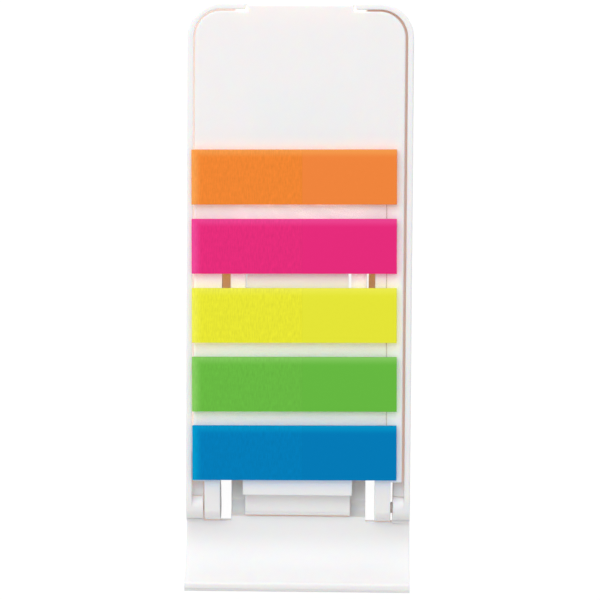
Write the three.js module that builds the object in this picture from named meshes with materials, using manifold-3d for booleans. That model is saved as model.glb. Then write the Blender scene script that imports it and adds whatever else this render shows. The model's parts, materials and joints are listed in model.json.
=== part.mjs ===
// Pocket folding stand that carries five pads of film sticky notes, closed and lying on its back.
// Millimetres, +Z up. X runs across the stand and Y from the foot's lip to the far end.
// Heights are above the underside. Places along the stand are measured from the lip's outer face,
// and the last lines move the whole so that the origin is under the middle of its outline.
import * as THREE from "three";
import { mergeVertices } from "three/addons/utils/BufferGeometryUtils.js";
import Module from "manifold-3d";

const wasm = await Module();
wasm.setup();

// Tray: floor, rim and far corners
const trayWidth = 49.6;
const trayLength = 129.2;
const trayCornerRadius = 7.5;
const floorThickness = 1.5;
const rimThickness = 1.3;
const rimHeight = 6.8;
const rimRound = 0.45;

// Foot: flat sole, concave sweep and lip
const footThickness = 3.0;
const sweepRadius = 10.6;
const lipThickness = 1.6;
const lipHeight = 11.0;
const lipRound = 0.7;
const soleRound = 8.0;

// Main hinge between the tray and the rest plate
const pivotPlace = 17.9;
const pivotHeight = 3.1;
const knuckleRadius = 2.9;
const knuckleLength = 3.8;
const knuckleFillet = 0.9;
const rimRamp = 3.0;
const armWidth = 3.5;
const armEndRadius = 3.0;
const armRoot = 11.5;
const pinRadius = 1.2;
const pinLength = 2.5;
const pinClearance = 0.3;
const boreDepth = 3.1;
const hingePlay = 0.8;
const restShift = -0.12;
const runningGap = 0.3;
const cutoutWidth = 6.05;
const cutoutLength = 12.25;

// Heel: stepped block in the middle of the hinge, turning in a trough of the tongue
const heelWidth = 24.2;
const heelShoulder = 0.45;
const heelReach = 1.88;
const heelRise = 1.1;
const heelRound = 0.8;
const heelStep = 3.0;
const heelRoot = 8.5;
const heelClearance = 0.3;

// Rest plate: lies inside the rim, a little below its top
const plateThickness = 2.0;
const plateSink = 0.1;
const plateClearance = 0.4;
const plateSetback = 6.0;
const plateRound = 0.4;
const plateNotch = 3.0;
const tabWidth = 23.2;
const tabInset = 0.3;
const tabClearance = 0.5;
const seatGap = 0.3;
const cheekWidth = 2.75;
const cheekGap = 0.25;

// Strut: folded under the plate and hinged between two springy ears of it
const strutReach = 46.0;
const strutPivotHeight = 4.5;
const strutWidth = 22.3;
const strutThickness = 1.8;
const strutBarrelRadius = 1.9;
const strutHeadLength = 8.1;
const strutOpenDegrees = 132.0;
const strutBeadRadius = 1.3;
const strutPlay = 0.9;
const strutShift = -0.2;
const strutPinRadius = 0.8;
const strutPinLength = 2.4;
const earWidth = 3.4;
const earRadius = 2.0;
const windowPlay = 0.5;
const reliefWidth = 1.85;
const reliefLength = 17.0;

// Slots through the tray's floor that catch the strut's bead
const slotCount = 4;
const slotPitch = 8.0;
const firstSlot = 34.6;
const slotLength = 4.0;
const slotMargin = 4.15;

// Note pads on their clear carrier sheet
const padCount = 5;
const padLength = 45.0;
const padWidth = 12.0;
const padThickness = 1.3;
const padPitch = 15.2;
const padMargin = 0.55;
const padShift = -0.9;
const padTurnDegrees = 0.4;
const sheetWidth = 42.0;
const sheetThickness = 0.15;
const sheetShift = -0.6;
const sheetInset = 0.5;

// How finely round shapes are cut, and how far a cutting solid runs past what it cuts
const roundSteps = 32;
const arcSteps = 12;
const bevelSteps = 3;
const cutMargin = 1.0;
const mergeDistance = 0.0001;

// Sizes that follow
const knuckleInner = trayWidth / 2 - knuckleLength;
const armOuter = knuckleInner - hingePlay / 2;
const armInner = armOuter - armWidth;
const cutoutInner = knuckleInner - cutoutWidth;
const cutoutStart = pivotPlace - armEndRadius - runningGap;
const heelCorner = Math.hypot(heelReach - heelRound, heelRise - heelRound) + heelRound;
const troughRadius = heelCorner + heelClearance;
const plateTop = rimHeight - plateSink;
const plateUnder = plateTop - plateThickness;
const ledgeTop = plateUnder - seatGap;
const ledgeWidth = knuckleLength - rimThickness;
const plateStart = pivotPlace + plateSetback;
const plateEnd = trayLength - rimThickness - plateClearance;
const plateWidth = trayWidth - 2 * (rimThickness + plateClearance);
const plateCornerRadius = trayCornerRadius - rimThickness - plateClearance;
const notchWidth = tabWidth + 2 * tabClearance;
const strutPlace = pivotPlace + strutReach;
const beadPlace = strutPlace + strutReach;
const strutTop = strutPivotHeight + strutBarrelRadius;
const windowHalf = (strutWidth + strutPlay) / 2;
const strutUnder = pivotHeight - strutThickness / 2;
const strutOpening = THREE.MathUtils.degToRad(strutOpenDegrees);
const windowNear = (strutPivotHeight - strutUnder) / Math.sin(strutOpening) + windowPlay;
const windowFar = Math.hypot(strutHeadLength, strutBarrelRadius) + windowPlay;
const earOuter = windowHalf + earWidth;
const slotWidth = strutWidth + 2 * slotMargin;

// Closed geometry as a solid that can be joined and cut, and back again
function solidOf(geometry) {
  geometry.deleteAttribute("normal");
  geometry.deleteAttribute("uv");
  const merged = mergeVertices(geometry, mergeDistance);
  return new wasm.Manifold(new wasm.Mesh({
    numProp: 3,
    vertProperties: new Float32Array(merged.attributes.position.array),
    triVerts: new Uint32Array(merged.index.array),
  }));
}

function geometryOf(solid) {
  const mesh = solid.getMesh();
  const geometry = new THREE.BufferGeometry();
  geometry.setAttribute("position", new THREE.BufferAttribute(mesh.vertProperties, 3));
  geometry.setIndex(new THREE.BufferAttribute(mesh.triVerts, 1));
  geometry.computeVertexNormals();
  return geometry;
}

// Box between two corners
function block(low, high) {
  const size = high.map((value, axis) => value - low[axis]);
  const geometry = new THREE.BoxGeometry(...size);
  geometry.translate(...low.map((value, axis) => value + size[axis] / 2));
  return solidOf(geometry);
}

// Round bar along X from one x to another, at a place along the stand and a height
function rod(radius, fromX, toX, place, height) {
  const geometry = new THREE.CylinderGeometry(radius, radius, Math.abs(toX - fromX), roundSteps);
  geometry.rotateZ(Math.PI / 2);
  geometry.translate((fromX + toX) / 2, place, height);
  return solidOf(geometry);
}

// Side profile, drawn as (place, height), drawn out along X
function profile(shape, fromX, toX) {
  const geometry = new THREE.ExtrudeGeometry(shape, {
    depth: toX - fromX,
    bevelEnabled: false,
    curveSegments: arcSteps,
  });
  geometry.applyMatrix4(new THREE.Matrix4().makeBasis(
    new THREE.Vector3(0, 1, 0),
    new THREE.Vector3(0, 0, 1),
    new THREE.Vector3(1, 0, 0),
  ));
  geometry.translate(fromX, 0, 0);
  return solidOf(geometry);
}

// Outline seen from above, raised between two heights with its upper and lower edges rounded
function raised(shape, fromZ, toZ, round) {
  const geometry = new THREE.ExtrudeGeometry(shape, {
    depth: toZ - fromZ - 2 * round,
    bevelEnabled: round > 0,
    bevelThickness: round,
    bevelSize: round,
    bevelOffset: -round,
    bevelSegments: bevelSteps,
    curveSegments: arcSteps,
  });
  geometry.translate(0, 0, fromZ + round);
  return solidOf(geometry);
}

// Outline with a straight near end and round far corners, with an optional tab on the far edge
function outline(width, near, far, radius, tabHalf = 0, tabFar = 0) {
  const half = width / 2;
  const shape = new THREE.Shape();
  shape.moveTo(-half, near);
  shape.lineTo(half, near);
  shape.lineTo(half, far - radius);
  shape.absarc(half - radius, far - radius, radius, 0, Math.PI / 2);
  if (tabHalf > 0) {
    shape.lineTo(tabHalf, far);
    shape.lineTo(tabHalf, tabFar);
    shape.lineTo(-tabHalf, tabFar);
    shape.lineTo(-tabHalf, far);
  }
  shape.lineTo(radius - half, far);
  shape.absarc(radius - half, far - radius, radius, Math.PI / 2, Math.PI);
  return shape;
}

function polygon(points) {
  return new THREE.Shape(points.map(([place, height]) => new THREE.Vector2(place, height)));
}

// Foot section: flat sole, rounded lower edge, upright lip and the sweep back down to the flat
function footSection() {
  const shape = new THREE.Shape();
  const sweepCentre = lipThickness + sweepRadius;
  const sweepTop = Math.acos((footThickness + sweepRadius - lipHeight + lipRound) / sweepRadius);
  shape.moveTo(pivotPlace, 0);
  shape.lineTo(pivotPlace, footThickness);
  shape.lineTo(sweepCentre, footThickness);
  shape.absarc(
    sweepCentre, footThickness + sweepRadius, sweepRadius, -Math.PI / 2, -Math.PI / 2 - sweepTop, true,
  );
  const lipInner = sweepCentre - sweepRadius * Math.sin(sweepTop);
  shape.quadraticCurveTo(lipInner, lipHeight, lipInner - lipRound, lipHeight);
  shape.lineTo(lipRound, lipHeight);
  shape.absarc(lipRound, lipHeight - lipRound, lipRound, Math.PI / 2, Math.PI);
  shape.lineTo(0, soleRound);
  shape.absarc(soleRound, soleRound, soleRound, Math.PI, 1.5 * Math.PI);
  return shape;
}

// One knuckle of the tray: barrel, the block that carries it and the fillet down to the foot
function knuckle(side) {
  const from = side > 0 ? knuckleInner : -trayWidth / 2;
  const to = side > 0 ? trayWidth / 2 : -knuckleInner;
  const foot = pivotPlace - knuckleRadius;
  const fillet = new THREE.Shape();
  fillet.moveTo(pivotPlace, pivotHeight);
  fillet.lineTo(foot, footThickness + knuckleFillet);
  fillet.absarc(
    foot - knuckleFillet, footThickness + knuckleFillet, knuckleFillet, 0, -Math.PI / 2, true,
  );
  fillet.lineTo(foot - knuckleFillet, footThickness - runningGap);
  fillet.lineTo(pivotPlace, footThickness - runningGap);
  return rod(knuckleRadius, from, to, pivotPlace, pivotHeight)
    .add(block([from, foot, 0], [to, pivotPlace + knuckleRadius, pivotHeight]))
    .add(profile(fillet, from, to));
}

function trayBody() {
  const half = trayWidth / 2;
  const shell = raised(outline(trayWidth, pivotPlace, trayLength, trayCornerRadius), 0, rimHeight, rimRound);
  const straightFoot = block([-half, pivotPlace, 0], [half, pivotPlace + rimRamp, floorThickness]);
  // Hollow of the tray: wide above the ledge that carries the plate, and narrower below it
  const hollow = (inset, bottom) => raised(
    outline(
      trayWidth - 2 * inset,
      pivotPlace - cutMargin,
      trayLength - inset,
      trayCornerRadius - inset,
    ),
    bottom,
    rimHeight + cutMargin,
    0,
  );
  const cavity = hollow(rimThickness, ledgeTop).add(hollow(rimThickness + ledgeWidth, floorThickness));
  // The rim runs down to the height of the knuckles at the hinge
  const ramp = profile(polygon([
    [pivotPlace - cutMargin, pivotHeight + knuckleRadius],
    [pivotPlace, pivotHeight + knuckleRadius],
    [pivotPlace + rimRamp, rimHeight],
    [pivotPlace + rimRamp, rimHeight + cutMargin],
    [pivotPlace - cutMargin, rimHeight + cutMargin],
  ]), -half - cutMargin, half + cutMargin);
  let body = shell.add(straightFoot).subtract(cavity).subtract(ramp);
  for (const side of [-1, 1]) {
    const inner = side * notchWidth / 2;
    const outer = side * (notchWidth / 2 + cheekWidth);
    body = body.add(block(
      [Math.min(inner, outer), plateEnd + cheekGap, 0],
      [Math.max(inner, outer), trayLength - rimThickness / 2, rimHeight - rimRound],
    ));
  }
  return body;
}

function makeTray() {
  let tray = trayBody().add(profile(footSection(), -trayWidth / 2, trayWidth / 2));
  for (const side of [-1, 1]) {
    tray = tray.add(knuckle(side));
  }
  // Notch in the far rim for the plate's tab
  tray = tray.subtract(block(
    [-notchWidth / 2, plateEnd - cutMargin, ledgeTop],
    [notchWidth / 2, trayLength + cutMargin, rimHeight + cutMargin],
  ));
  for (const side of [-1, 1]) {
    const ends = [side * cutoutInner, side * knuckleInner].sort((a, b) => a - b);
    tray = tray.subtract(block(
      [ends[0], cutoutStart, -cutMargin],
      [ends[1], cutoutStart + cutoutLength, rimHeight + cutMargin],
    ));
    const bore = [side * (knuckleInner - cutMargin), side * (knuckleInner + boreDepth)];
    tray = tray.subtract(rod(
      pinRadius + pinClearance, Math.min(...bore), Math.max(...bore), pivotPlace, pivotHeight,
    ));
  }
  // Trough in which the heel turns
  const troughHalf = cutoutInner + cutoutWidth / 2;
  tray = tray.subtract(rod(troughRadius, -troughHalf, troughHalf, pivotPlace, pivotHeight));
  for (let index = 0; index < slotCount; index += 1) {
    const middle = pivotPlace + firstSlot + index * slotPitch;
    tray = tray.subtract(block(
      [-slotWidth / 2, middle - slotLength / 2, -cutMargin],
      [slotWidth / 2, middle + slotLength / 2, floorThickness + cutMargin],
    ));
  }
  return tray;
}

// Arm of the plate, round at the pivot and thinning to its root under the plate
function arm(side) {
  const ends = [side * armInner, side * armOuter].sort((a, b) => a - b);
  const body = profile(polygon([
    [pivotPlace, pivotHeight - armEndRadius],
    [pivotPlace + armRoot, plateUnder],
    [pivotPlace + armRoot, plateUnder + plateThickness / 2],
    [plateStart + plateRound, plateTop],
    [pivotPlace, pivotHeight + armEndRadius],
  ]), ends[0], ends[1]);
  const tip = side > 0 ? armOuter + pinLength : -armOuter - pinLength;
  const root = side * (armOuter - armWidth / 2);
  return body
    .add(rod(armEndRadius, ends[0], ends[1], pivotPlace, pivotHeight))
    .add(rod(pinRadius, Math.min(root, tip), Math.max(root, tip), pivotPlace, pivotHeight));
}

// Stepped heel: a high step level with the plate, and a low, slightly narrower one round the pivot
function heel() {
  const high = polygon([
    [pivotPlace + heelStep, pivotHeight],
    [pivotPlace + heelRoot, plateUnder],
    [pivotPlace + heelRoot, plateTop - plateThickness / 2],
    [plateStart + plateRound, plateTop],
    [pivotPlace + heelStep, plateTop],
  ]);
  const low = new THREE.Shape();
  low.moveTo(pivotPlace - heelReach, pivotHeight + heelRise - heelRound);
  low.lineTo(pivotPlace - heelReach, pivotHeight);
  low.absarc(pivotPlace, pivotHeight, heelReach, Math.PI, 1.75 * Math.PI);
  low.lineTo(pivotPlace + heelRoot, plateUnder);
  low.lineTo(pivotPlace + heelRoot, pivotHeight + heelRise + plateThickness / 2);
  low.lineTo(pivotPlace + heelStep + heelRound, pivotHeight + heelRise);
  low.absarc(
    pivotPlace - heelReach + heelRound, pivotHeight + heelRise - heelRound, heelRound, Math.PI / 2, Math.PI,
  );
  const lowHalf = heelWidth / 2 - heelShoulder;
  return profile(high, -heelWidth / 2, heelWidth / 2).add(profile(low, -lowHalf, lowHalf));
}

function makePlate() {
  let plate = raised(
    outline(plateWidth, plateStart, plateEnd, plateCornerRadius, tabWidth / 2, trayLength - tabInset),
    plateUnder,
    plateTop,
    plateRound,
  );
  // Open notches beside the heel
  for (const side of [-1, 1]) {
    const ends = [side * heelWidth / 2, side * armInner].sort((a, b) => a - b);
    plate = plate.subtract(block(
      [ends[0], plateStart - cutMargin, plateUnder - cutMargin],
      [ends[1], plateStart + plateNotch, plateTop + cutMargin],
    ));
  }
  plate = plate.add(heel());
  for (const side of [-1, 1]) {
    plate = plate.add(arm(side));
    const ear = [side * windowHalf, side * earOuter].sort((a, b) => a - b);
    plate = plate
      .add(rod(earRadius, ear[0], ear[1], strutPlace, strutPivotHeight))
      .add(block(
        [ear[0], strutPlace - earRadius, strutPivotHeight],
        [ear[1], strutPlace + earRadius, plateTop - plateThickness / 2],
      ));
  }
  plate = plate.subtract(block(
    [-windowHalf, strutPlace - windowNear, plateUnder - cutMargin],
    [windowHalf, strutPlace + windowFar, plateTop + cutMargin],
  ));
  for (const side of [-1, 1]) {
    const relief = [side * earOuter, side * (earOuter + reliefWidth)].sort((a, b) => a - b);
    plate = plate.subtract(block(
      [relief[0], strutPlace - reliefLength / 2, plateUnder - cutMargin],
      [relief[1], strutPlace + reliefLength / 2, plateTop + cutMargin],
    ));
  }
  const bore = earOuter + reliefWidth / 2;
  return plate.subtract(rod(strutPinRadius + pinClearance, -bore, bore, strutPlace, strutPivotHeight));
}

// Strut: thin from its bead to under the window, where its thicker head lies nearly level with the plate
function makeStrut() {
  const half = strutWidth / 2;
  const pin = half + strutPinLength;
  return block(
    [-half, strutPlace, strutUnder],
    [half, beadPlace, pivotHeight + strutThickness / 2],
  )
    .add(block([-half, strutPlace, pivotHeight], [half, strutPlace + strutHeadLength, strutTop]))
    .add(rod(strutBarrelRadius, -half, half, strutPlace, strutPivotHeight))
    .add(rod(strutBeadRadius, -half, half, beadPlace, pivotHeight))
    .add(rod(strutPinRadius, -pin, pin, strutPlace, strutPivotHeight));
}

function makeSlip(width, near, far, thickness) {
  const shape = new THREE.Shape();
  shape.moveTo(-width / 2, near);
  shape.lineTo(width / 2, near);
  shape.lineTo(width / 2, far);
  shape.lineTo(-width / 2, far);
  return new THREE.ExtrudeGeometry(shape, { depth: thickness, bevelEnabled: false });
}

const plastic = () => new THREE.MeshStandardMaterial({ color: 0xf2f1f0, roughness: 0.42, metalness: 0 });
const clearFilm = new THREE.MeshStandardMaterial({
  color: 0xe9ecec,
  roughness: 0.3,
  metalness: 0,
  transparent: true,
  opacity: 0.3,
});
const padColours = {
  blue: 0x007cba,
  green: 0x69ba44,
  yellow: 0xe7e736,
  pink: 0xe72f7c,
  orange: 0xf0873a,
};

function named(name, geometry, material) {
  const mesh = new THREE.Mesh(geometry, material);
  mesh.name = name;
  return mesh;
}

const stand = new THREE.Group();
stand.position.y = -trayLength / 2;
stand.add(named("base_tray", geometryOf(makeTray()), plastic()));

// The plate has slid to one side within the play of its hinge
const rest = new THREE.Group();
rest.position.x = restShift;
rest.add(named("rest_plate", geometryOf(makePlate()), plastic()));
const strut = named("strut", geometryOf(makeStrut()), plastic());
strut.position.x = strutShift;
rest.add(strut);

// Carrier sheet and pads are stuck on slightly askew, turned about the middle of the set
const setLength = (padCount - 1) * padPitch + padWidth;
const notes = new THREE.Group();
notes.position.set(padShift, plateStart + padMargin + setLength / 2, plateTop);
notes.rotation.z = THREE.MathUtils.degToRad(padTurnDegrees);
const sheet = named(
  "carrier_sheet",
  makeSlip(sheetWidth, sheetInset - setLength / 2, setLength / 2 - sheetInset, sheetThickness),
  clearFilm,
);
sheet.position.x = sheetShift;
notes.add(sheet);
const padNames = Object.keys(padColours);
for (let index = 0; index < padCount; index += 1) {
  const colourName = padNames[index % padNames.length];
  const turn = Math.floor(index / padNames.length);
  const near = index * padPitch - setLength / 2;
  const pad = named(
    turn > 0 ? `pad_${colourName}_${turn + 1}` : `pad_${colourName}`,
    makeSlip(padLength, near, near + padWidth, padThickness),
    new THREE.MeshStandardMaterial({ color: padColours[colourName], roughness: 0.5, metalness: 0 }),
  );
  pad.position.z = sheetThickness;
  notes.add(pad);
}
rest.add(notes);
stand.add(rest);

export default stand;
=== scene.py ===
import json
import math

import bmesh
import bpy
from mathutils import Matrix, Vector


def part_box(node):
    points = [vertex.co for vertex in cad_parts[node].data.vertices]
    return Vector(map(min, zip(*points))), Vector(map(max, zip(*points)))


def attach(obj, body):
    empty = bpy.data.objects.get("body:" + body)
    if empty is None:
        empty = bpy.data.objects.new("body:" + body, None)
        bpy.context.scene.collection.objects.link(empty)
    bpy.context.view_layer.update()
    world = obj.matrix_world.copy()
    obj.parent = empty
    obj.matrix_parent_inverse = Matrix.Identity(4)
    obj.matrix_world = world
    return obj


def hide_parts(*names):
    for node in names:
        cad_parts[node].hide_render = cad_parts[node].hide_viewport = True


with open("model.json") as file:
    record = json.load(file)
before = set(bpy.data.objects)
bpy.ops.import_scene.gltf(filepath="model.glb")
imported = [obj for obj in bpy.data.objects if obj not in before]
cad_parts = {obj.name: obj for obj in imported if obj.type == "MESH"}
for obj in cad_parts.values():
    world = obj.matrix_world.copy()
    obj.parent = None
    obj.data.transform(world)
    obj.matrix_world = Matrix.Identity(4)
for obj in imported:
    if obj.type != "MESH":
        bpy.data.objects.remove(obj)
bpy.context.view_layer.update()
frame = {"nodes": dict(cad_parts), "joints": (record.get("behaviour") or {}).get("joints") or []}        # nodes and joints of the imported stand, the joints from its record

mm = 0.001
scene = bpy.context.scene
scene.view_settings.view_transform = "Standard"


# Wraps a socket, so that shader and geometry maths reads as plain sums
class Wire:
    def __init__(self, tree, socket=None):
        self.tree = tree
        self.socket = socket

    # Any node: its type, its settings, the values or wires of its sockets, and which output to take
    def make(self, kind, settings=None, inputs=None, out=0):
        node = self.tree.nodes.new(kind)
        for name, value in (settings or {}).items():
            setattr(node, name, value)
        for name, value in (inputs or {}).items():
            if isinstance(value, Wire):
                self.tree.links.new(value.socket, node.inputs[name])
            else:
                node.inputs[name].default_value = value
        return Wire(self.tree, node.outputs[out])

    # Another output of the node that this wire comes from
    def output(self, name):
        return Wire(self.tree, self.socket.node.outputs[name])

    def maths(self, operation, first, second=0.0):
        return self.make("ShaderNodeMath", {"operation": operation}, {0: first, 1: second})

    def __add__(self, other):
        return self.maths("ADD", self, other)

    def __sub__(self, other):
        return self.maths("SUBTRACT", self, other)

    def __mul__(self, other):
        return self.maths("MULTIPLY", self, other)

    def __truediv__(self, other):
        return self.maths("DIVIDE", self, other)

    def __rsub__(self, other):
        return self.maths("SUBTRACT", other, self)

    def __neg__(self):
        return self.maths("SUBTRACT", 0.0, self)

    def __abs__(self):
        return self.maths("ABSOLUTE", self)

    __radd__ = __add__
    __rmul__ = __mul__

    def atLeast(self, other):
        return self.maths("MAXIMUM", self, other)

    # 0 to 1 as the value goes from low to high, with soft ends
    def rise(self, low, high):
        return self.make("ShaderNodeMapRange", {"interpolation_type": "SMOOTHSTEP"}, {
            0: self, 1: low, 2: high, 3: 0.0, 4: 1.0,
        })

    # The first colour where this is 0, the second where it is 1
    def colours(self, first, second):
        return self.make("ShaderNodeMix", {"data_type": "RGBA"}, {0: self, 6: first, 7: second}, 2)

    # A colour times this number
    def times(self, colour):
        return self.make("ShaderNodeVectorMath", {"operation": "SCALE"}, {0: colour, "Scale": self})

    # This colour and another together
    def plusColour(self, other):
        return self.make("ShaderNodeVectorMath", {"operation": "ADD"}, {0: self, 1: other})

    # A vector's X, Y and Z
    def parts(self):
        split = self.make("ShaderNodeSeparateXYZ", None, {"Vector": self})
        return split, split.output("Y"), split.output("Z")

    # Noise at this place, with lumps of a given size
    def lumps(self, size, detail, roughness=0.5):
        return self.make("ShaderNodeTexNoise", None, {
            "Vector": self, "Scale": 1 / size, "Detail": detail, "Roughness": roughness,
        })

    # A surface normal bent by this height, in metres
    def bump(self):
        return self.make("ShaderNodeBump", None, {"Height": self, "Distance": 1.0, "Strength": 1.0})


def solid(colour):
    return (*colour, 1.0)


plainWhite = solid((1.0, 1.0, 1.0))
noLight = solid((0.0, 0.0, 0.0))


def emptied(tree):
    tree.nodes.clear()
    return Wire(tree)


def newFinish(name):
    material = bpy.data.materials.new(name)
    material.use_nodes = True
    return material, emptied(material.node_tree)


def toSurface(shader, outputKind="ShaderNodeOutputMaterial"):
    output = shader.tree.nodes.new(outputKind)
    shader.tree.links.new(shader.socket, output.inputs["Surface"])


def placed(name, data):
    thing = bpy.data.objects.new(name, data)
    scene.collection.objects.link(thing)
    return thing


# Camera: nearly straight down, as the photo was taken
cameraSetup = {
    "distance": 560 * mm,
    "frameSpan": 131.9 * mm,      # what the square picture covers at the height of the pads
    "leanUp": 3.6,                # degrees from straight down, towards the far end
    "leanRight": 1.3,
    "roll": 0.37,
    "aim": (0.22 * mm, -0.35 * mm, 7.5 * mm),
    "sensor": 36.0,
    "nearest": 10 * mm,
    "farthest": 20.0,
}


def setCamera(setup):
    data = bpy.data.cameras.new("photoCamera")
    data.sensor_width = setup["sensor"]
    data.lens = setup["sensor"] * setup["distance"] / setup["frameSpan"]
    data.clip_start = setup["nearest"]
    data.clip_end = setup["farthest"]
    leans = (math.radians(setup["leanRight"]), math.radians(setup["leanUp"]))
    out = Vector((math.tan(leans[0]), math.tan(leans[1]), 1.0)).normalized()
    right = Vector((0.0, 1.0, 0.0)).cross(out).normalized()
    turn = Matrix((right, out.cross(right), out)).transposed().to_4x4()
    camera = placed("photoCamera", data)
    camera.matrix_world = (
        Matrix.Translation(Vector(setup["aim"]) + out * setup["distance"])
        @ turn
        @ Matrix.Rotation(math.radians(setup["roll"]), 4, "Z")
    )
    scene.camera = camera


setCamera(cameraSetup)
print("camera set")


# Stage: pale floor, even sky and one large soft lamp from the upper left
stageSetup = {
    "floorSize": 6.0,
    "floorDrop": 0.05 * mm,
    "floorColour": (0.9, 0.9, 0.9),
    "floorGlow": 1.06,            # the floor's own white, where the camera looks at it
    "floorGlowShare": 0.9,
    "sky": 0.62,
    "lampPlace": (-0.20, 0.62, 0.64),
    "lampSize": 0.9,
    "lampWatts": 5.1,
}


# 1 for rays that show the background: straight to the camera, in gloss or through clear film
def lookRays(wire):
    seen = wire.make("ShaderNodeLightPath", out="Is Camera Ray")
    return seen.atLeast(seen.output("Is Glossy Ray")).atLeast(seen.output("Is Transmission Ray"))


def setSky(setup):
    world = bpy.data.worlds.new("studio")
    world.use_nodes = True
    scene.world = world
    wire = emptied(world.node_tree)
    light = wire.make("ShaderNodeBackground", None, {"Color": plainWhite, "Strength": setup["sky"]})
    seen = wire.make("ShaderNodeBackground", None, {"Color": plainWhite, "Strength": 1.0})
    both = wire.make("ShaderNodeMixShader", None, {0: lookRays(wire), 1: light, 2: seen})
    toSurface(both, "ShaderNodeOutputWorld")


def setFloor(setup):
    half = setup["floorSize"] / 2
    mesh = bpy.data.meshes.new("floor")
    corners = [(-half, -half), (half, -half), (half, half), (-half, half)]
    mesh.from_pydata([(x, y, -setup["floorDrop"]) for x, y in corners], [], [(0, 1, 2, 3)])
    floor = placed("floor", mesh)
    material, wire = newFinish("palePaper")
    matt = wire.make("ShaderNodeBsdfDiffuse", None, {"Color": solid(setup["floorColour"])})
    glow = wire.make("ShaderNodeEmission", None, {"Color": plainWhite, "Strength": setup["floorGlow"]})
    share = lookRays(wire) * setup["floorGlowShare"]
    toSurface(wire.make("ShaderNodeMixShader", None, {0: share, 1: matt, 2: glow}))
    mesh.materials.append(material)


def setLamp(setup):
    lamp = bpy.data.lights.new("softLamp", "AREA")
    lamp.shape = "SQUARE"
    lamp.size = setup["lampSize"]
    lamp.energy = setup["lampWatts"]
    holder = placed("softLamp", lamp)
    holder.location = setup["lampPlace"]
    holder.rotation_euler = Vector(setup["lampPlace"]).to_track_quat("Z", "Y").to_euler()


setSky(stageSetup)
setFloor(stageSetup)
setLamp(stageSetup)
print("stage set")


# Film notes: how the strips lie and what colour they are
filmSetup = {
    "sheets": 20,
    "filmShare": 0.9,             # film in the pitch of the stack, the rest is air
    "wander": 0.03 * mm,
    "twist": 0.06,                # degrees either way
    "turn": 0.4,                  # the set is stuck on askew
    "size": (45.0 * mm, 12.0 * mm),
    "glued": 24.3 * mm,           # length of the glued end
    "seed": 7,
}
# glued and free are the two ends; throws is how much of the colour is painted on the plate above and
# below, as light that the pad throws
filmColours = {
    "orange": {"glued": (0.905, 0.246, 0.034), "free": (0.905, 0.242, 0.047), "throws": (0.10, 0.15)},
    "pink": {"glued": (0.825, 0.027, 0.206), "free": (0.825, 0.025, 0.208), "throws": (0.08, 0.26)},
    "yellow": {"glued": (0.842, 0.830, 0.035), "free": (0.825, 0.825, 0.040), "throws": (0.16, 0.20)},
    "green": {"glued": (0.150, 0.515, 0.058), "free": (0.141, 0.510, 0.055), "throws": (0.09, 0.26)},
    "blue": {"glued": (0.0, 0.218, 0.518), "free": (0.0, 0.208, 0.504), "throws": (0.09, 0.25)},
}


def middleOf(nodeName):
    low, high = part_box(nodeName)
    return (low + high) / 2


# Object coordinates turned back, so that they run along the strips from a chosen middle
def straightened(wire, middle):
    place = wire.make("ShaderNodeTexCoord", out="Object")
    turn = math.radians(-filmSetup["turn"])
    shift = -(Matrix.Rotation(turn, 4, "Z") @ middle)
    return wire.make("ShaderNodeMapping", None, {
        "Vector": place, "Location": (shift.x, shift.y, 0.0), "Rotation": (0.0, 0.0, turn),
    })


# Coloured light that the neon film throws on the white plate beside it
padLight = {
    "paleness": 0.22,             # white in the thrown colour
    "reach": 3.4 * mm,
    "sideFall": 2.2,              # how much sooner it ends beside a pad
    "topBand": 0.5 * mm,          # how far down the plate's edge it goes
}


def thrownLight(wire, colourName, tones, setup):
    length, width = filmSetup["size"]
    across, along, height = straightened(wire, middleOf("pad_" + colourName)).parts()
    pastEnd = (abs(across) - length / 2).atLeast(0.0) * setup["sideFall"]
    pastSide = (abs(along) - width / 2).atLeast(0.0)
    away = wire.maths("SQRT", pastEnd * pastEnd + pastSide * pastSide)
    below = 1.0 - along.rise(-width / 2, width / 2)
    throwsUp, throwsDown = tones["throws"]
    share = (1.0 - away.rise(0.0, setup["reach"])) * (throwsUp + below * (throwsDown - throwsUp))
    pale = [part + (1.0 - part) * setup["paleness"] for part in tones["glued"]]
    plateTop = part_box("rest_plate")[1].z
    onTop = height.rise(plateTop - setup["topBand"], plateTop - setup["topBand"] / 2)
    return (share * onTop).times(pale)


def neonSpill(wire, setup):
    lights = [thrownLight(wire, colourName, tones, setup) for colourName, tones in filmColours.items()]
    spill = lights[0]
    for light in lights[1:]:
        spill = spill.plusColour(light)
    return spill
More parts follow.
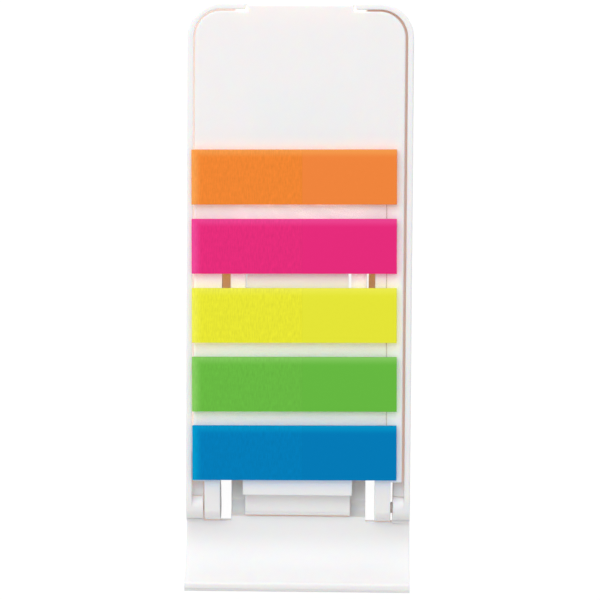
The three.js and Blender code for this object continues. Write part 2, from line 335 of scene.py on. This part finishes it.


# White moulded plastic: a fine moulded grain and faint clouds, with painted warm shade and painted light
# where light is trapped in gaps, painted shade on inner walls away from the lamp, and painted light
# thrown by the notes
plastic = {
    "open": (0.89, 0.888, 0.893),
    # painted warm shade deep in the gaps
    "deep": (0.84, 0.70, 0.63),
    "crevice": 6.0 * mm,          # how far a crevice's walls are felt
    "creviceRays": 12,
    "creviceFrom": 0.02,
    "creviceTo": 0.38,
    "underside": 0.5 * mm,        # below this height nothing counts as trapped
    "rimSkin": 0.3 * mm,          # nor in this much of the tray's outer sides
    "rimBlend": 0.4 * mm,
    # painted light that comes out of the gaps, by their place on the stand
    "gapGlow": (0.16, 0.115, 0.095),
    "leftGapGlow": (0.38, 0.345, 0.32),    # painted light, where the lamp shines into the rim
    "tabGapGlow": (0.85, 0.84, 0.84),
    "tabGapHalf": 14.7 * mm,
    # painted light in the slots of the tray's floor
    "trayGlow": (0.56, 0.22, 0.02),
    # painted shade in the slots of the tray's floor
    "trayDeep": (0.80, 0.46, 0.15),
    "floorTop": 2.2 * mm,
    "floorBlend": 0.5 * mm,
    "hingeEnd": 12.0 * mm,        # how far past the hinge the tray's floor starts
    "blend": 1.0 * mm,
    "shadowTone": 0.4,            # inner walls that face away from the lamp
    "facing": (0.6, 0.9),
    "outerSkin": 0.8 * mm,        # the plate's own outer edge isn't such a wall
    "cloud": 7.0 * mm,
    "cloudDepth": 0.012,
    "grain": 0.16 * mm,
    "grainHeight": 0.0025 * mm,
    "wave": 14.0 * mm,
    "waveHeight": 0.02 * mm,
    "roughness": 0.38,
    "roughnessSpread": 0.10,
    "refraction": 1.5,
    "gloss": 0.3,
    "glow": 0.6,                  # light that goes into the plastic and comes out nearby
    "glowReach": 1.6 * mm,
    "glowTint": (1.0, 0.62, 0.42),
}
plateHinge = next(joint for joint in frame["joints"] if joint["name"] == "plate_hinge")
floorStart = plateHinge["pos_m"][1] + plastic["hingeEnd"]
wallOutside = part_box("base_tray")[1].x - plastic["rimSkin"]
wallInside = wallOutside - plastic["rimBlend"]


# Where light is trapped, from 0 in the open to 1 deep in a gap: the mask of the painted shade and
# painted light in gaps
def trappedLight(wire, setup, ownCrevices, across, height):
    free = wire.make("ShaderNodeAmbientOcclusion", {
        "samples": setup["creviceRays"], "only_local": ownCrevices,
    }, {"Distance": setup["crevice"]}, "AO")
    inside = height.rise(setup["underside"], 2 * setup["underside"])
    inside = inside * (1.0 - across.rise(wallInside, wallOutside))
    return (1.0 - free.rise(setup["creviceFrom"], setup["creviceTo"])) * inside


# Painted shade deep in a gap, and painted light coming out of it, by the place on the stand
def paintedGapTones(setup, sideways, along, height):
    beyond = along.rise(floorStart, floorStart + setup["blend"])
    onFloor = beyond * (1.0 - height.rise(setup["floorTop"], setup["floorTop"] + setup["floorBlend"]))
    leftSide = (1.0 - sideways.rise(-wallInside / 2, 0.0)) * beyond
    nearTab = 1.0 - abs(sideways).rise(setup["tabGapHalf"] - setup["blend"], setup["tabGapHalf"])
    nearTab = nearTab * along.rise(0.0, setup["blend"]) * (1.0 - onFloor)
    glow = leftSide.colours(solid(setup["gapGlow"]), solid(setup["leftGapGlow"]))
    glow = nearTab.colours(glow, solid(setup["tabGapGlow"]))
    glow = onFloor.colours(glow, solid(setup["trayGlow"]))
    return onFloor.colours(solid(setup["deep"]), solid(setup["trayDeep"])), glow


# Inner walls of the plate and the strut that face away from the lamp
def lampShade(wire, setup, across):
    rightward = wire.make("ShaderNodeTexCoord", out="Normal").parts()[0].rise(*setup["facing"])
    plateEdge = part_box("rest_plate")[1].x - setup["outerSkin"]
    return rightward * (1.0 - across.rise(plateEdge - setup["outerSkin"], plateEdge))


def mouldedPlastic(name, setup, moulding):
    material, wire = newFinish(name)
    place = wire.make("ShaderNodeTexCoord", out="Object")
    cloud = place.lumps(setup["cloud"], 3.0)
    sideways, along, height = place.parts()
    across = abs(sideways)
    trapped = trappedLight(wire, setup, moulding["ownCrevices"], across, height)
    deep, glow = paintedGapTones(setup, sideways, along, height)
    clean = (1.0 + (cloud - 0.5) * setup["cloudDepth"]).times(setup["open"])
    # Painted shade: darker and warmer where light is trapped
    colour = trapped.colours(clean, deep)
    # Painted light: the gaps glow as if light came out of them
    paintedLight = trapped.colours(noLight, glow)
    if moulding["underNotes"]:
        shaded = lampShade(wire, setup, across)
        colour = (1.0 - shaded * (1.0 - setup["shadowTone"])).times(colour)
        paintedLight = (1.0 - shaded).times(paintedLight).plusColour(neonSpill(wire, padLight))
    wave = place.lumps(setup["wave"], 1.0)
    grain = place.lumps(setup["grain"], 2.0)
    toSurface(wire.make("ShaderNodeBsdfPrincipled", None, {
        "Base Color": colour,
        "Emission Color": paintedLight,
        "Emission Strength": 1.0,
        "Roughness": setup["roughness"] + (cloud - 0.5) * setup["roughnessSpread"],
        "Normal": (wave * setup["waveHeight"] + grain * setup["grainHeight"]).bump(),
        "IOR": setup["refraction"],
        "Specular IOR Level": setup["gloss"],
        "Subsurface Weight": setup["glow"],
        "Subsurface Radius": setup["glowTint"],
        "Subsurface Scale": setup["glowReach"],
    }))
    return material


# The three mouldings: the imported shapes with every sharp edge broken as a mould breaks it
mouldings = {
    "base_tray": {
        "piece": "tray_moulding", "body": "base", "edge": 0.16 * mm,
        "ownCrevices": False, "underNotes": False,
    },
    "rest_plate": {
        "piece": "plate_moulding", "body": "plate", "edge": 0.16 * mm,
        "ownCrevices": True, "underNotes": True,
    },
    "strut": {
        "piece": "strut_moulding", "body": "strut", "edge": 0.14 * mm,
        "ownCrevices": True, "underNotes": True,
    },
}
edgeSetup = {
    "weld": 0.0005 * mm,
    "flat": 0.6,                  # degrees
    "sharp": 36.0,
    "shortest": 0.4 * mm,         # shorter edges get no bevel, which would run past their ends
    "steps": 2,
}


def mergedCopy(nodeName, name, setup):
    mesh = frame["nodes"][nodeName].data.copy()
    mesh.name = name
    mesh.materials.clear()
    bm = bmesh.new()
    bm.from_mesh(mesh)
    bmesh.ops.remove_doubles(bm, verts=bm.verts[:], dist=setup["weld"])
    bmesh.ops.dissolve_limit(
        bm, angle_limit=math.radians(setup["flat"]), verts=bm.verts[:], edges=bm.edges[:]
    )
    weight = bm.edges.layers.float.new("bevel_weight_edge")
    for edge in bm.edges:
        sharp = edge.is_manifold and edge.calc_face_angle() > math.radians(setup["sharp"])
        edge[weight] = 1.0 if sharp and edge.calc_length() > setup["shortest"] else 0.0
    bm.to_mesh(mesh)
    bm.free()
    return placed(name, mesh)


def dress(nodeName, moulding, setup):
    piece = mergedCopy(nodeName, moulding["piece"], setup)
    piece.data.shade_smooth()
    piece.data.set_sharp_from_angle(angle=math.radians(setup["sharp"]))
    bevel = piece.modifiers.new("brokenEdges", "BEVEL")
    bevel.width = moulding["edge"]
    bevel.segments = setup["steps"]
    bevel.limit_method = "WEIGHT"
    bevel.use_clamp_overlap = False
    even = piece.modifiers.new("evenFaces", "WEIGHTED_NORMAL")
    even.keep_sharp = True
    piece.data.materials.append(mouldedPlastic(moulding["piece"] + "_plastic", plastic, moulding))
    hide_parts(nodeName)
    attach(piece, moulding["body"])


for nodeName, moulding in mouldings.items():
    dress(nodeName, moulding, edgeSetup)
print("mouldings dressed")


# The film's finish: glued at the left and free at the right, with painted light towards the glued end,
# the far edge and where light comes in at the edges
filmGrain = {
    "wide": 0.22 * mm,            # grain runs across the strip, fine along it
    "long": 1.6 * mm,
    "depth": 0.32,
    "mottle": 0.9 * mm,
    "mottleDepth": 0.12,
    "freeMottle": 0.25,           # what the free end has of it
    "seam": 0.12 * mm,
    "seamFrom": 0.3,
    "seamShade": 0.035,
    "height": 0.004 * mm,
    "gluedRoughness": 0.50,
    "freeRoughness": 0.42,
    "refraction": 1.45,
    "gloss": 0.03,
    "lift": 0.05,                 # painted light: brighter towards the glued end
    "liftReach": 3.2 * mm,
    "farLift": 0.02,              # and painted light towards the far edge
    "farReach": 3.5 * mm,
    "palePower": 0.72,            # film looks paler where light comes in at its edges
    "paleReach": 2.3 * mm,
    "paleFarReach": 1.9 * mm,
    "paleFarShare": 0.8,
    "edgeShade": 0.9,
}
cutEdgeSlope = (0.3, 0.7)


# 1 on the cut edges of a sheet, which stand upright
def cutEdges(wire):
    upward = wire.make("ShaderNodeTexCoord", out="Normal").parts()[2]
    return 1.0 - abs(upward).rise(*cutEdgeSlope)


def filmFinish(name, tones, setup, grain, middle):
    material, wire = newFinish(name)
    length, width = setup["size"]
    local = straightened(wire, middle)
    across, along, _ = local.parts()
    fromGluedEnd = across + length / 2
    seamPlace = setup["glued"] - length / 2
    free = across.rise(seamPlace - grain["seam"] / 2, seamPlace + grain["seam"] / 2)
    glued = 1.0 - free
    seam = 1.0 - abs((across - seamPlace) / grain["seam"]).rise(grain["seamFrom"], 1.0)
    fibre = wire.make("ShaderNodeMapping", None, {
        "Vector": local, "Scale": (1 / grain["wide"], 1 / grain["long"], 1 / grain["long"]),
    }).lumps(1.0, 3.0)
    mottle = local.lumps(grain["mottle"], 4.0, 0.6)
    # Painted light: the film is brighter towards its glued end and its far edge
    lift = (1.0 - fromGluedEnd.rise(0.0, grain["liftReach"])) * grain["lift"]
    lift = lift + along.rise(width / 2 - grain["farReach"], width / 2) * grain["farLift"]
    shade = 1.0 + (fibre - 0.5) * grain["depth"] * glued
    shade = shade + (mottle - 0.5) * grain["mottleDepth"] * (glued + grain["freeMottle"])
    shade = shade * (1.0 - seam * grain["seamShade"]) * (1.0 + lift)
    shade = shade * (1.0 - cutEdges(wire) * (1.0 - grain["edgeShade"]))
    farPale = along.rise(width / 2 - grain["paleFarReach"], width / 2) * grain["paleFarShare"]
    pale = (1.0 - fromGluedEnd.rise(0.0, grain["paleReach"])).atLeast(farPale)
    paleTone = [part ** grain["palePower"] for part in tones["glued"]]
    tone = free.colours(solid(tones["glued"]), solid(tones["free"]))
    tone = pale.colours(tone, solid(paleTone))
    toSurface(wire.make("ShaderNodeBsdfPrincipled", None, {
        "Base Color": shade.times(tone),
        "Roughness": grain["gluedRoughness"] + free * (grain["freeRoughness"] - grain["gluedRoughness"]),
        "Normal": (fibre * glued * grain["height"] + mottle * grain["height"]).bump(),
        "IOR": grain["refraction"],
        "Specular IOR Level": grain["gloss"],
    }))
    return material


stripCuts = {"Vertices X": 10, "Vertices Y": 4}
stackInputs = {
    "Sheets": "NodeSocketInt",
    "Length": "NodeSocketFloat",
    "Width": "NodeSocketFloat",
    "Pitch": "NodeSocketFloat",
    "Film": "NodeSocketFloat",
    "Wander": "NodeSocketFloat",
    "Twist": "NodeSocketFloat",
    "Turn": "NodeSocketFloat",
    "Place": "NodeSocketVector",
    "Seed": "NodeSocketInt",
    "Finish": "NodeSocketMaterial",
}


# A pad: strips stacked at a pitch, each a little out of line with the others
def filmStackTree():
    tree = bpy.data.node_groups.new("filmStack", "GeometryNodeTree")
    tree.interface.new_socket(name="Stack", in_out="OUTPUT", socket_type="NodeSocketGeometry")
    for name, kind in stackInputs.items():
        tree.interface.new_socket(name=name, in_out="INPUT", socket_type=kind)
    given = tree.nodes.new("NodeGroupInput")
    wire = Wire(tree)

    def value(name):
        return Wire(tree, given.outputs[name])

    def vector(x=0.0, y=0.0, z=0.0):
        return wire.make("ShaderNodeCombineXYZ", None, {"X": x, "Y": y, "Z": z})

    strip = wire.make("GeometryNodeMeshCube", None, {
        "Size": vector(value("Length"), value("Width"), value("Film")), **stripCuts,
    })
    line = wire.make("GeometryNodeMeshLine", None, {
        "Count": value("Sheets"),
        "Start Location": vector(z=value("Pitch") * 0.5),
        "Offset": vector(z=value("Pitch")),
    })
    wander = value("Wander")
    slip = wire.make("FunctionNodeRandomValue", {"data_type": "FLOAT_VECTOR"}, {
        0: vector(-wander, -(wander * 0.5)), 1: vector(wander, wander * 0.5), "Seed": value("Seed"),
    })
    askew = wire.make("FunctionNodeRandomValue", {"data_type": "FLOAT"}, {
        2: -value("Twist"), 3: value("Twist"), "Seed": value("Seed") + 1.0,
    }, 1)
    points = wire.make("GeometryNodeSetPosition", None, {"Geometry": line, "Offset": slip})
    strips = wire.make("GeometryNodeInstanceOnPoints", None, {
        "Points": points, "Instance": strip, "Rotation": vector(z=askew),
    })
    stack = wire.make("GeometryNodeRealizeInstances", None, {"Geometry": strips})
    turned = wire.make("GeometryNodeTransform", None, {
        "Geometry": stack, "Translation": value("Place"), "Rotation": vector(z=value("Turn")),
    })
    finished = wire.make("GeometryNodeSetMaterial", None, {
        "Geometry": turned, "Material": value("Finish"),
    })
    output = tree.nodes.new("NodeGroupOutput")
    tree.links.new(finished.socket, output.inputs["Stack"])
    return tree


# A piece made by a geometry tree, as a plain mesh at the origin
def grown(name, tree, values):
    holder = placed(name, bpy.data.meshes.new(name))
    modifier = holder.modifiers.new("growth", "NODES")
    modifier.node_group = tree
    for item in tree.interface.items_tree:
        if item.item_type == "SOCKET" and item.in_out == "INPUT":
            modifier[item.identifier] = values[item.name]
    graph = bpy.context.evaluated_depsgraph_get()
    mesh = bpy.data.meshes.new_from_object(holder.evaluated_get(graph))
    holder.modifiers.remove(modifier)
    holder.data = mesh
    mesh.name = name
    return holder


def stackNotes(index, colourName, tones, tree, setup):
    node = "pad_" + colourName
    low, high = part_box(node)
    middle = middleOf(node)
    pitch = (high.z - low.z) / setup["sheets"]
    pad = grown("notes_" + colourName, tree, {
        "Sheets": setup["sheets"],
        "Length": setup["size"][0],
        "Width": setup["size"][1],
        "Pitch": pitch,
        "Film": pitch * setup["filmShare"],
        "Wander": setup["wander"],
        "Twist": math.radians(setup["twist"]),
        "Turn": math.radians(setup["turn"]),
        "Place": (middle.x, middle.y, low.z),
        "Seed": setup["seed"] + index,
        "Finish": filmFinish(colourName + "Film", tones, setup, filmGrain, middle),
    })
    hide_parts(node)
    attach(pad, "plate")


stackTree = filmStackTree()
for index, (colourName, tones) in enumerate(filmColours.items()):
    stackNotes(index, colourName, tones, stackTree, filmSetup)
print("notes stacked")


# Clear carrier film under the notes: nearly invisible but for its cut edge, with a painted shadow line
# along its right edge
carrier = {
    "colour": (0.80, 0.81, 0.83),
    # painted shadow along the film's right edge
    "edgeColour": (0.52, 0.33, 0.28),
    "edgeWide": 0.20 * mm,
    "edgeFrom": 1.3,              # the painted shadow line at the edge, from and to, in its own widths from the cut
    "edgeTo": 0.7,
    "face": 0.035,                # how much of it is seen, on its face and at its edge
    "edge": 0.34,
    "roughness": 0.22,
    "roughnessSpread": 0.1,
    "refraction": 1.5,
    "ripple": 11.0 * mm,
    "rippleHeight": 0.03 * mm,
    "haze": 0.03,
}


def carrierFinish(setup):
    material, wire = newFinish("clearFilm")
    low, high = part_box("carrier_sheet")
    place = straightened(wire, middleOf("carrier_sheet"))
    # The sheet is narrower than its box, because it is turned
    lean = (high.y - low.y) * math.sin(math.radians(filmSetup["turn"]))
    halfWide = (high.x - low.x - lean) / 2
    edgeShadowBand = place.parts()[0].rise(
        halfWide - setup["edgeWide"] * setup["edgeFrom"], halfWide - setup["edgeWide"] * setup["edgeTo"]
    )
    ripple = place.lumps(setup["ripple"], 2.0)
    faceShare = setup["face"] + (ripple - 0.5) * setup["haze"]
    cutShare = cutEdges(wire) * (setup["edge"] - setup["face"])
    toSurface(wire.make("ShaderNodeBsdfPrincipled", None, {
        # Painted shadow: a dark line along the film's right edge
        "Base Color": edgeShadowBand.colours(solid(setup["colour"]), solid(setup["edgeColour"])),
        "Alpha": (edgeShadowBand * setup["edge"]).atLeast(faceShare + cutShare),
        "Roughness": setup["roughness"] + (ripple - 0.5) * setup["roughnessSpread"],
        "Normal": (ripple * setup["rippleHeight"]).bump(),
        "IOR": setup["refraction"],
    }))
    return material


frame["nodes"]["carrier_sheet"].material_slots[0].material = carrierFinish(carrier)
print("carrier film finished")
